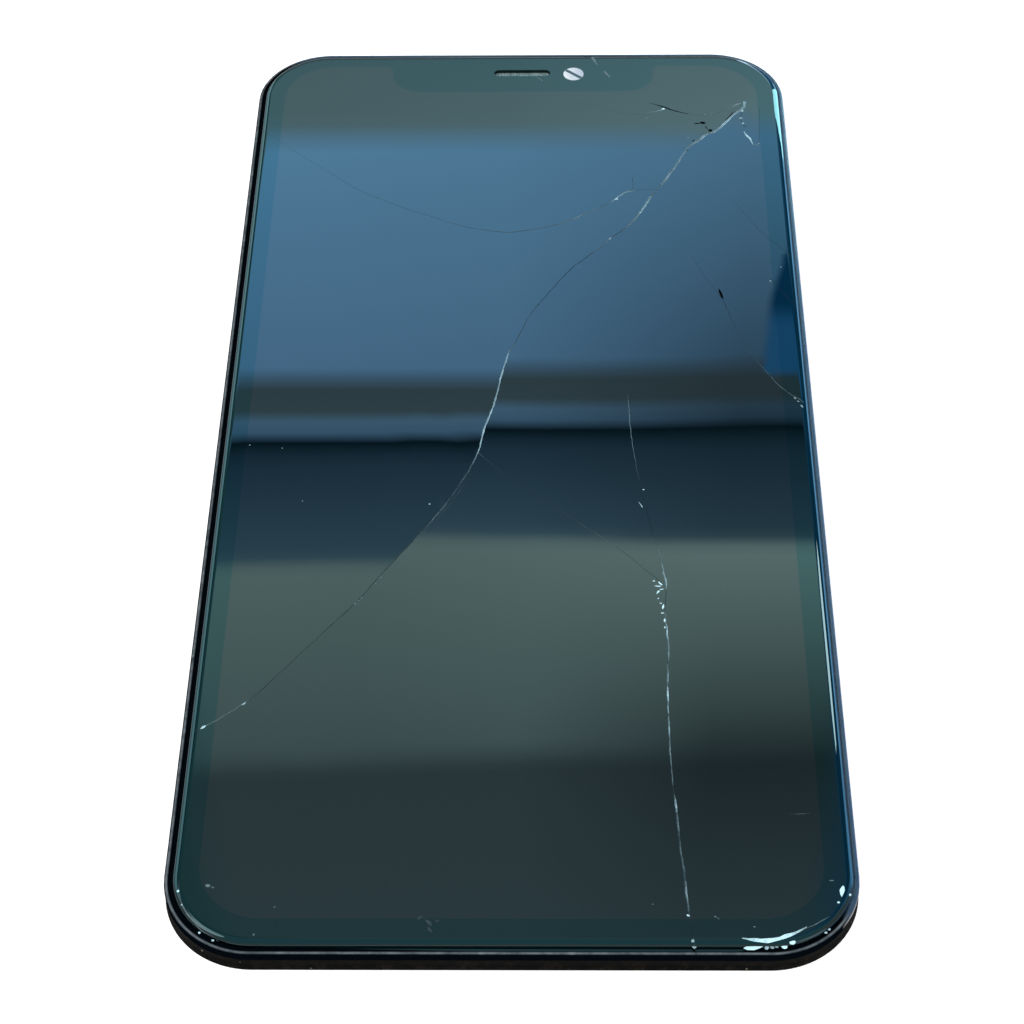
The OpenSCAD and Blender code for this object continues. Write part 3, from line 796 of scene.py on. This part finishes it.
def mottled(name, color, roughness, grain, dark, pale, relief=None, specular=0.5):
    """A plain skin that varies between two tones. Grain is the size and detail of its noise, and
    relief is the size, detail, depth and strength of its bumps."""
    g = Skin(name, color, roughness, specular=specular)
    g.color(g.noise(*grain), dark, pale)
    if relief:
        size, detail, depth, strength = relief
        g.bump(g.noise(size, detail), depth, strength)
    return g.material


def glass_skin(name, color, tint=None):
    """Dark layers seen under polished glass, with faint smudges."""
    g = Skin(name, color, 0.02)
    if tint:
        g.put("Specular Tint", (*tint, 1))
    g.roughness(g.noise(9, 4, (1, 0.6, 1), 0.5), 0.45, 0.75, 0.006, 0.022)
    haze = g.span(g.noise(0.12, 2), 0.4, 0.75)
    g.color(haze, color, tuple(c + 0.0012 for c in color))
    return g.material


def window_skin():
    """Pale film behind the camera window, with painted shade that makes it greyer towards the right."""
    g = Skin("window_film", (0.6, 0.63, 0.68), 0.08)
    wavy = g.span(g.noise(0.9, 2), 0.3, 0.7, -0.4, 0.4)
    across = g.maths("ADD", g.split(g.place())["X"], wavy)
    shade_rightwards = g.span(across, WINDOW_X - WINDOW_R, WINDOW_X + WINDOW_R)
    # Painted shade: the film turns greyer towards the right.
    g.color(shade_rightwards, (0.66, 0.69, 0.73), (0.38, 0.41, 0.5))
    return g.material


def fracture_skin(name):
    """Broken glass: dark where it is clean and white where it is crushed. The whiteness also stands in
    for light caught by the crack's faces, as painted glints.
    """
    g = Skin(name, (0.5, 0.6, 0.62), 0.3)
    tone = g.node("Attribute")
    tone.attribute_name = "tone"
    # Noise breaks the whiteness into brighter spots, which are painted glints.
    white = g.times(tone.outputs["Fac"], g.span(g.noise(0.18, 2), 0.3, 0.7, 0.7, 1.25))
    g.color(white, (0.0015, 0.003, 0.004), (0.58, 0.88, 0.98))
    g.roughness(white, 0, 0.6, 0.3, 0.6)
    g.put("Specular IOR Level", g.span(white, 0.0, 0.25, 0.0, 0.5))
    g.bump(g.noise(0.15, 3), 0.02, 0.4)
    return g.material


# ---- materials of the other parts


def satin_black():
    """Black frame with a thin, broken light line painted along its outer edge as a highlight. The right
    side and the far side are glossier instead, with a higher specular level, and have a painted navy
    sheen that stands for a blue reflection."""
    g = Skin("bezel_black", (0.006, 0.008, 0.011), 0.35, specular=0.12)
    place = g.split(g.place())
    inside = g.from_edge(place, BEZEL_HI.x, BEZEL_HI.y, BEZEL_R)
    edge = g.times(g.span(inside, 0.08, 0.2), g.span(inside, 0.42, 0.28))
    # Painted highlight: noise and spots break up the light line along the outer edge.
    highlight_breakup = g.span(g.noise(1.6, 5, roughness=0.7), 0.3, 0.62, 0.25, 1)
    spots = g.span(g.cells(2.3), 0.16, 0.06)
    # The pale light line along the outer edge is a painted highlight.
    line = g.times(edge, g.span(place["Z"], 2.3, 2.5), g.maths("ADD", highlight_breakup, spots))
    scuff = g.span(g.noise(0.5, 5, roughness=0.7), 0.62, 0.78)
    base = g.blend(scuff, (0.0012, 0.003, 0.0048), (0.006, 0.008, 0.010))
    sides = g.maths("MAXIMUM", g.span(place["X"], 32.6, 33.5), g.span(place["Y"], 68.8, 69.8))
    corner = g.span(g.maths("ADD", place["X"], place["Y"]), 94, 97)
    # Mask of the glossier right and far sides, which also carry a painted navy sheen.
    polish_and_sheen = g.times(g.maths("MAXIMUM", sides, corner), g.span(place["Z"], 1.9, 2.3))
    g.put("Specular IOR Level", g.span(polish_and_sheen, 0, 1, 0.0, 0.6))
    line = g.times(line, g.span(polish_and_sheen, 0, 1, 1, 0))
    # Painted reflection: a navy cast in the base colour on those sides.
    base = g.blend(g.span(polish_and_sheen, 0, 1, 0, 0.7), base, (0.004, 0.02, 0.055))
    g.color(line, base, (0.14, 0.17, 0.19))
    g.roughness(g.noise(2.5, 4), 0.3, 0.7, 0.25, 0.42)
    g.bump(g.noise(0.12, 3), 0.006, 0.6)
    return g.material


def dusty_seal():
    """Foam seal, dark brown with dust and a few pale crumbs worked into it."""
    g = Skin("dusty_seal", (0.008, 0.007, 0.006), 0.85, specular=0.05)
    dust = g.span(g.noise(1.3, 6, roughness=0.75), 0.48, 0.75)
    crumbs = g.span(g.cells(1.6), 0.1, 0.02)
    foot = g.span(g.split(g.place())["Z"], 0.1, 1.3, 1.0, 0.25)
    base = g.blend(g.times(dust, foot), (0.004, 0.0038, 0.0035), (0.024, 0.019, 0.016))
    g.color(crumbs, base, (0.3, 0.26, 0.22))
    g.bump(g.noise(0.3, 5, roughness=0.7), 0.06)
    return g.material


def brushed_steel(name, color, roughness, grain=(1, 30, 1)):
    g = Skin(name, color, roughness, metallic=1)
    streak = g.noise(3, 5, grain)
    pale = tuple(min(1, c * 1.12) for c in color)
    dull = tuple(c * 0.82 for c in color)
    g.color(g.span(g.noise(14, 3), 0.3, 0.7), dull, pale)
    g.roughness(streak, 0.3, 0.7, roughness - 0.07, roughness + 0.12)
    g.bump(streak, 0.004, 0.5)
    return g.material


def plate_steel():
    """The stamped plate: fine grain, dull patches and hairline scratches."""
    g = Skin("plate_steel", (0.5, 0.51, 0.52), 0.36, metallic=1)
    streak = g.noise(2.2, 5, (14, 1, 1))
    patch = g.noise(22, 4)
    g.color(g.span(patch, 0.35, 0.65), (0.42, 0.425, 0.43), (0.56, 0.565, 0.575))
    scratch = g.span(g.noise(5, 2, (0.3, 9, 1), 0.6), 0.66, 0.7)
    rough = g.span(g.maths("ADD", g.times(streak, 0.5), patch), 0.4, 1.1, 0.28, 0.5)
    g.put("Roughness", g.maths("SUBTRACT", rough, g.times(scratch, 0.12)))
    g.bump(streak, 0.003, 0.5)
    g.bump(scratch, 0.004, 0.5)
    return g.material


def copper_sheet():
    g = Skin("copper", (0.62, 0.33, 0.2), 0.4, metallic=1)
    g.color(g.span(g.noise(6, 4), 0.35, 0.7), (0.6, 0.33, 0.2), (0.42, 0.23, 0.15))
    g.roughness(g.noise(1.5), 0.3, 0.7, 0.3, 0.5)
    return g.material


def film(name, color, roughness):
    g = Skin(name, color, roughness)
    g.color(g.noise(3, 4), color, tuple(c * 0.7 for c in color))
    g.roughness(g.noise(1.2), 0.3, 0.7, roughness * 0.8, min(1, roughness * 1.25))
    return g.material


def rubber(name, color):
    g = Skin(name, color, 0.8, specular=0.3)
    pale = tuple(c * 2.2 + 0.01 for c in color)
    g.color(g.span(g.noise(0.7, 5), 0.5, 0.8), color, pale)
    g.bump(g.noise(0.15, 3), 0.01, 0.6)
    return g.material


def flex_film():
    """Amber film with the copper lines showing through it."""
    g = Skin("flex_amber", (0.5, 0.26, 0.07), 0.3)
    lines = g.span(g.stripes(0.9), 0.45, 0.6)
    cloud = g.noise(5, 3)
    amber = g.blend(g.span(cloud, 0.3, 0.7), (0.42, 0.19, 0.04), (0.52, 0.25, 0.06))
    g.color(lines, amber, (0.68, 0.38, 0.13))
    g.roughness(cloud, 0.3, 0.7, 0.22, 0.4)
    g.bump(lines, 0.012, 0.7)
    return g.material


def cloth_pad():
    """Conductive cloth wrapped over foam: a fine plain weave."""
    g = Skin("pad_cloth", (0.35, 0.34, 0.32), 0.55, metallic=0.6)
    weave = g.maths("MAXIMUM", g.stripes(1.1, "X"), g.stripes(1.1, "Y"))
    g.color(g.span(weave, 0.3, 1.0), (0.16, 0.155, 0.15), (0.42, 0.41, 0.39))
    g.bump(weave, 0.02, 0.8)
    return g.material


def mesh_steel():
    """The earpiece mesh: pale dusty steel cloth."""
    g = Skin("mesh_steel", (0.3, 0.36, 0.37), 0.5, metallic=0.3)
    dust = g.span(g.noise(0.4, 4), 0.4, 0.7)
    g.color(dust, (0.14, 0.2, 0.2), (0.34, 0.42, 0.41))
    g.bump(g.stripes(1.3, "X", 0.78), 0.01, 0.6)
    return g.material


def dress_cad_nodes():
    """Gives each CAD node its material."""
    for material, *nodes in [
        (satin_black(), "bezel_frame"),
        (rubber("glue_black", (0.02, 0.02, 0.022)), "frame_glue"),
        (rubber("seal_hidden", (0.02, 0.018, 0.016)), "seal_strip"),
        (rubber("foam_black", grey(0.015)), "panel_foam"),
        (rubber("rubber_black", (0.012, 0.012, 0.013)), "mesh_gasket", "camera_seat"),
        (film("glass_hidden", (0.02, 0.03, 0.035), 0.1), "cover_glass"),
        (film("adhesive_film", (0.5, 0.54, 0.54), 0.2), "optical_adhesive"),
        (film("polarizer_film", (0.05, 0.06, 0.065), 0.2), "polarizer"),
        (film("sensor_film", (0.08, 0.1, 0.105), 0.2), "touch_sensor"),
        (film("panel_film", (0.03, 0.032, 0.036), 0.25), "display_panel"),
        (film("smoked_lens", (0.03, 0.035, 0.045), 0.12), "sensor_lenses"),
        (copper_sheet(), "heat_spreader"),
        (plate_steel(), "back_plate"),
        (mesh_steel(), "earpiece_mesh"),
        (brushed_steel("turned_brass", (0.66, 0.56, 0.36), 0.3, (1, 1, 12)), "standoffs"),
        (brushed_steel("spring_steel", (0.56, 0.57, 0.59), 0.28), "side_clips", "top_hooks"),
        (brushed_steel("stiffener_steel", (0.52, 0.52, 0.5), 0.4), "display_stiffener",
         "touch_stiffener"),
        (flex_film(), "display_flex", "touch_flex"),
        (cloth_pad(), "ground_pads"),
        (mottled("chip_epoxy", (0.03, 0.03, 0.032), 0.35, (0.4, 4), (0.022, 0.022, 0.024),
                 (0.04, 0.04, 0.043), (0.1, 3, 0.004, 0.5)), "driver_chip", "touch_chip"),
        (mottled("connector_plastic", grey(0.02), 0.5, (0.6, 4), grey(0.016), grey(0.035),
                 (0.08, 3, 0.004, 0.5)), "display_connector", "touch_connector"),
        (mottled("tape_black", grey(0.018), 0.6, (1.2, 5), grey(0.014), grey(0.03),
                 (0.25, 4, 0.008, 0.6), specular=0.35), "flex_tape"),
        (mottled("white_film", (0.84, 0.87, 0.88), 0.5, (0.8, 3), (0.8, 0.83, 0.85),
                 (0.88, 0.9, 0.91)), "camera_film"),
    ]:
        for node in nodes:
            slots = NODES[node].data.materials
            slots.clear()
            slots.append(material)


# ---- pieces added to the frame


def add_piece(piece, slot, *replaced):
    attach(piece, "root")
    if replaced:
        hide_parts(*replaced)


# The seal's face: heights of the points up it, how far it is sunk where it bulges least, how deep
# its waves and its grain are, how far its foot is squashed outwards, and how thick the ring is.
SEAL_ROWS = [SEAL_LO.z, SEAL_LO.z + 0.05, 0.45, 0.85, 1.25, SEAL_HI.z - 0.02]
SEAL_SET_BACK = 0.01
SEAL_WAVE = 0.09
SEAL_GRAIN = 0.015
SEAL_SQUASH = 0.22
SEAL_THICK = 0.6
SEAL_WAVES = 24


def bumpy_seal(material):
    """The seal strip as a ring whose face is worn and uneven."""
    rng = random.Random(11)
    radius = BEZEL_R - (BEZEL_HI.x - SEAL_HI.x)
    path = fillet(box_corners(SEAL_HI.x, SEAL_HI.y, radius), 28, 0.45)
    waves = [
        (rng.uniform(0.1, 3.0), rng.uniform(0, 6.3), rng.uniform(0.2, 1)) for _ in range(SEAL_WAVES)
    ]
    points, run, last = [], 0.0, path[0]
    for i, p in enumerate(path):
        run += (p - last).length
        last = p
        towards = path[(i + 1) % len(path)] - path[i - 1]
        out = Vector((towards.y, -towards.x)).normalized()
        for j, z in enumerate(SEAL_ROWS):
            wave = sum(a * math.sin(f * run + s + j * f) for f, s, a in waves) / SEAL_WAVES
            dent = -abs(wave) * SEAL_WAVE - rng.random() * SEAL_GRAIN
            bulge = dent if 0 < j < len(SEAL_ROWS) - 1 else -SEAL_SET_BACK
            q = p + out * (bulge + (SEAL_SQUASH if j < 2 else 0.0))
            points.append((q.x, q.y, z))
        q = p - out * SEAL_THICK
        points += [(q.x, q.y, SEAL_ROWS[-1]), (q.x, q.y, SEAL_LO.z)]
    width = len(SEAL_ROWS) + 2
    faces = []
    for i in range(len(path)):
        here, there = i * width, (i + 1) % len(path) * width
        for j in range(width):
            up = (j + 1) % width
            faces.append((here + j, there + j, there + up, here + up))
    mesh = new_mesh("worn_seal", in_metres(points), faces, material)
    mesh.polygons.foreach_set("use_smooth", [True] * len(faces))
    return add_object("worn_seal", mesh)


dress_cad_nodes()
glass = build_glass({
    "border": glass_skin("border_ink", (0.0008, 0.0036, 0.004), (0.58, 0.88, 0.93)),
    "active": glass_skin("display_black", (0.0012, 0.0035, 0.0046)),
    "window": window_skin(),
    "slit": mottled("window_slit", (0.03, 0.03, 0.035), 0.2, (0.4, 3),
                    (0.015, 0.016, 0.02), (0.04, 0.042, 0.048)),
    "crack": fracture_skin("fracture"),
})
add_piece(glass, "cover_glass", "cover_glass")
add_piece(build_flakes(random.Random(5), fracture_skin("flake_glass")), "cover_glass")
add_piece(bumpy_seal(dusty_seal()), "seal_strip", "seal_strip")

# ---- stage, in metres

FLOOR_SIZE = 6.0
FLOOR_GLOW = 0.5
WORLD_LIGHT = 0.85


def plane(name, size_x, size_y):
    corners = [(x, y, 0) for x, y, _ in box_corners(size_x / 2, size_y / 2, 0)]
    return add_object(name, new_mesh(name, corners, [(0, 1, 2, 3)]))


def make_floor():
    """A white floor that also glows where it is seen straight or in a reflection."""
    floor = plane("floor", FLOOR_SIZE, FLOOR_SIZE)
    g = Glow("floor")
    rays = g.node("LightPath").outputs
    seen = g.maths("MAXIMUM", rays["Is Camera Ray"], rays["Is Glossy Ray"])
    seen = g.maths("MAXIMUM", seen, rays["Is Transmission Ray"])
    both = g.node("AddShader")
    g.feed(both.inputs[0], g.node("BsdfDiffuse", Color=(0.9, 0.9, 0.9, 1)).outputs[0])
    g.feed(both.inputs[1], g.node("Emission", Strength=g.times(seen, FLOOR_GLOW)).outputs[0])
    floor.data.materials.append(g.finish(both))


def make_world():
    world = bpy.data.worlds.new("world")
    world.use_nodes = True
    background = world.node_tree.nodes["Background"]
    background.inputs["Color"].default_value = (1, 1, 1, 1)
    background.inputs["Strength"].default_value = WORLD_LIGHT
    bpy.context.scene.world = world


def make_lamp(name, place, size, power):
    data = bpy.data.lights.new(name, "AREA")
    data.shape = "DISK"
    data.size = size
    data.energy = power
    lamp = add_object(name, data)
    lamp.location = place
    lamp.rotation_mode = "QUATERNION"
    lamp.rotation_quaternion = (-Vector(place)).to_track_quat("-Z", "Y")


# What the glass mirrors: level bands on a wall behind the notched end. Each row is the band's
# lower edge, how soft that edge is, the colour at its foot and at its head, and how bright the
# band is at the left and, at foot and head, at the right, against its middle.
WALL_Y = 0.9
WALL_TOP = 2.4
WALL_W = 4.0
GLOW = 6.0
BANDS = [
    (0.00, 0.02, (0.3, 0.4, 0.45), (0.5, 0.8, 0.9), 0.9, 1.1, 1.2),
    (0.50, 0.02, (0.6, 1.1, 1.3), (1.15, 2.05, 2.25), 0.9, 1.2, 1.2),
    (0.6925, 0.018, (1.2, 3.0, 4.9), (1.0, 2.4, 4.1), 1.05, 0.82, 0.45),
    (0.880, 0.014, (0.45, 0.77, 0.95), (0.5, 0.88, 1.05), 1.0, 0.7, 0.6),
    (0.9178, 0.006, (0.95, 2.2, 3.7), (0.95, 2.2, 3.7), 1.0, 0.34, 0.36),
    (0.9287, 0.003, (0.0, 0.02, 0.05), (0.0, 0.05, 0.1), 1.2, 0.8, 0.8),
    (0.945, 0.014, (0.16, 0.45, 0.75), (0.45, 1.05, 1.5), 0.95, 0.65, 0.7),
    (1.037, 0.014, (1.7, 2.7, 2.6), (1.05, 1.7, 1.75), 0.88, 1.1, 0.4),
    (1.274, 0.03, (0.45, 0.72, 0.8), (0.5, 0.85, 0.98), 1.0, 0.5, 0.85),
    (1.60, 0.2, (0.6, 0.8, 0.85), (0.9, 1.05, 1.1), 1.0, 1.0, 1.0),
]

# Where the bands turn from their middle to their left and their right brightness
WALL_LEFT = (0.0, -0.13)
WALL_RIGHT = (-0.02, 0.12)

# Beyond the bands, further to the side on the wall: (from, to, how far the colour at the foot runs
# into the colour at the head, colour at the foot, colour at the head)
SIDE_FOOT = 0.72
WALL_SIDES = [
    (0.20, 0.27, 0.10, (0.1, 0.6, 1.3), (0.1, 0.6, 1.2)),
    (-0.24, -0.32, 0.10, (0.15, 0.55, 0.6), (0.2, 0.65, 0.7)),
    (0.62, 0.72, 1.0, (1.2, 3.2, 5.3), (0.4, 1.2, 2.2)),
    (-0.66, -0.76, 1.0, (1.3, 1.8, 2.2), (0.5, 0.8, 1.1)),
]


def band_stops(column):
    """Heights and colours up the wall for the left (0), the middle (1) or the right (2)."""
    stops = []
    for i, (foot, soft, low, high, left, right_low, right_high) in enumerate(BANDS):
        head, head_soft = BANDS[i + 1][:2] if i + 1 < len(BANDS) else (WALL_TOP, 0)
        low_share = (left, 1.0, right_low)[column]
        high_share = (left, 1.0, right_high)[column]
        stops.append((foot + soft / 2, [c * low_share for c in low]))
        stops.append((head - head_soft / 2, [c * high_share for c in high]))
    return stops


def make_wall():
    wall = plane("mirrored_wall", WALL_W, WALL_TOP)
    wall.rotation_euler = (math.radians(90), 0, 0)
    wall.location = (0, WALL_Y, WALL_TOP / 2)
    g = Glow("mirrored_wall")
    place = g.split(g.node("TexCoord").outputs["Object"])
    height = g.maths("MULTIPLY_ADD", place["Y"], 1 / WALL_TOP, 0.5)

    def ramp(stops):
        """Colour up the wall through stops of height and colour."""
        made = g.node("ValToRGB", Fac=height)
        elements = made.color_ramp.elements
        elements[0].position = stops[0][0] / WALL_TOP
        elements[1].position = stops[-1][0] / WALL_TOP
        for stop, _ in stops[1:-1]:
            elements.new(stop / WALL_TOP)
        for element, (_, color) in zip(elements, stops):
            element.color = (*(c / GLOW for c in color), 1)
        return made.outputs["Color"]

    color = g.blend(g.span(place["X"], *WALL_LEFT), ramp(band_stops(1)), ramp(band_stops(0)))
    color = g.blend(g.span(place["X"], *WALL_RIGHT), color, ramp(band_stops(2)))
    for start, end, soft, low, high in WALL_SIDES:
        side = ramp([(SIDE_FOOT, low), (SIDE_FOOT + soft, high)])
        color = g.blend(g.span(place["X"], start, end), color, side)
    wall.data.materials.append(g.finish(g.node("Emission", Color=color, Strength=GLOW)))
    mirror_only(wall)


def mirror_only(card):
    """The card shows in reflections and lights nothing else."""
    for ray in ("camera", "diffuse", "transmission", "shadow", "volume_scatter"):
        setattr(card, "visible_" + ray, False)


def make_card(name, corners, color):
    """A flat glowing card through corners in metres, seen only in reflections."""
    g = Glow(name)
    strength = max(*color, 0.01)
    tint = (*(c / strength for c in color), 1)
    glow = g.finish(g.node("Emission", Color=tint, Strength=strength))
    mirror_only(add_object(name, new_mesh(name, corners, [tuple(range(len(corners)))], glow)))


def rectangle(u0, u1, v0, v1):
    return [(u0, v0), (u1, v0), (u1, v1), (u0, v1)]


def make_blue_pane():
    """A dark blue pane with soft edges in front of the wall's right side. Its lower left corner is
    cut away at a slant."""
    g = Glow("blue_pane")
    place = g.split(g.node("TexCoord").outputs["Object"])

    def soft(value, start, end, low=0.0, high=1.0):
        return g.span(value, start, end, low, high, "SMOOTHSTEP")

    slant = soft(place["Z"], 0.782, 0.826, -0.0075, 0.0)
    left = soft(g.maths("ADD", place["X"], slant), 0.130, 0.1375)
    rise = g.times(soft(place["Z"], 0.776, 0.79), soft(place["Z"], 0.889, 0.879))
    color = g.blend(soft(place["Z"], 0.822, 0.846), (0, 0.38, 1.0), (0.15, 1.0, 2.3))
    mix = g.node("MixShader", Fac=g.times(left, rise))
    g.feed(mix.inputs[1], g.node("BsdfTransparent").outputs[0])
    g.feed(mix.inputs[2], g.node("Emission", Color=color).outputs[0])
    corners = [(x, WALL_Y - 0.004, z) for x, z in rectangle(0.12, 0.4, 0.77, 0.9)]
    mesh = new_mesh("blue_pane", corners, [(0, 1, 2, 3)], g.finish(mix))
    mirror_only(add_object("blue_pane", mesh))


# Cards that stand across X beside the phone, each with its X, its colour and its outline as (y, z),
# in millimetres, and flat ones, each with its height, its colour and its outline in metres
SIDE_CARDS = [
    ("bright_window", 120, (6.5, 13.5, 14.5), [
        (148, 1), (157, 35), (188, 77), (219, 110), (274, 161), (358, 235), (432, 296), (455, 298),
        (340, 192), (255, 109), (200, 35), (192, 1),
    ]),
    ("pale_window", 122, (12.0, 13.5, 14.0), [
        (165, 190), (198, 240), (228, 290), (187, 290), (128, 225), (90, 164), (92, 138), (128, 150),
    ]),
    ("blue_window", 124, (1.5, 3.8, 6.2), rectangle(22, 250, 2, 60)),
    ("dim_window", 125, (0.02, 0.35, 0.75), rectangle(30, 250, 60, 330)),
    ("left_window", -120, (1.8, 3.0, 3.3), rectangle(-20, 280, 64, 132)),
    ("left_window_foot", -121, (0.75, 1.25, 1.45), rectangle(-20, 280, 12, 64)),
    ("left_dark", -122, (0.03, 0.3, 0.35), rectangle(-20, 300, 132, 190)),
]
LEVEL_CARDS = [
    ("blue_ground", 0.001, (0.55, 1.15, 2.4), rectangle(0.037, 0.6, -0.12, 0.6)),
    ("ceiling", 2.41, (0.4, 0.95, 1.1), rectangle(-1.2, 1.2, -2.0, 0.9)),
    ("dark_ground", 0.001, (0.16, 0.24, 0.27), rectangle(-1.2, 1.2, 0.09, 0.9)),
]

make_floor()
make_world()
make_lamp("key", (-0.9, 0.2, 1.5), 0.9, 9)
make_lamp("fill", (1.1, -0.9, 1.2), 1.0, 5)
make_wall()
for card, x, color, outline in SIDE_CARDS:
    make_card(card, in_metres((x, y, z) for y, z in outline), color)
for card, z, color, outline in LEVEL_CARDS:
    make_card(card, [(x, y, z) for x, y in outline], color)
glint = [(x, 0.88, z) for x, z in rectangle(0.16, 0.2, 0.0, 0.6)]
make_card("corner_glint", glint, (4.5, 6.2, 8.0))
make_blue_pane()
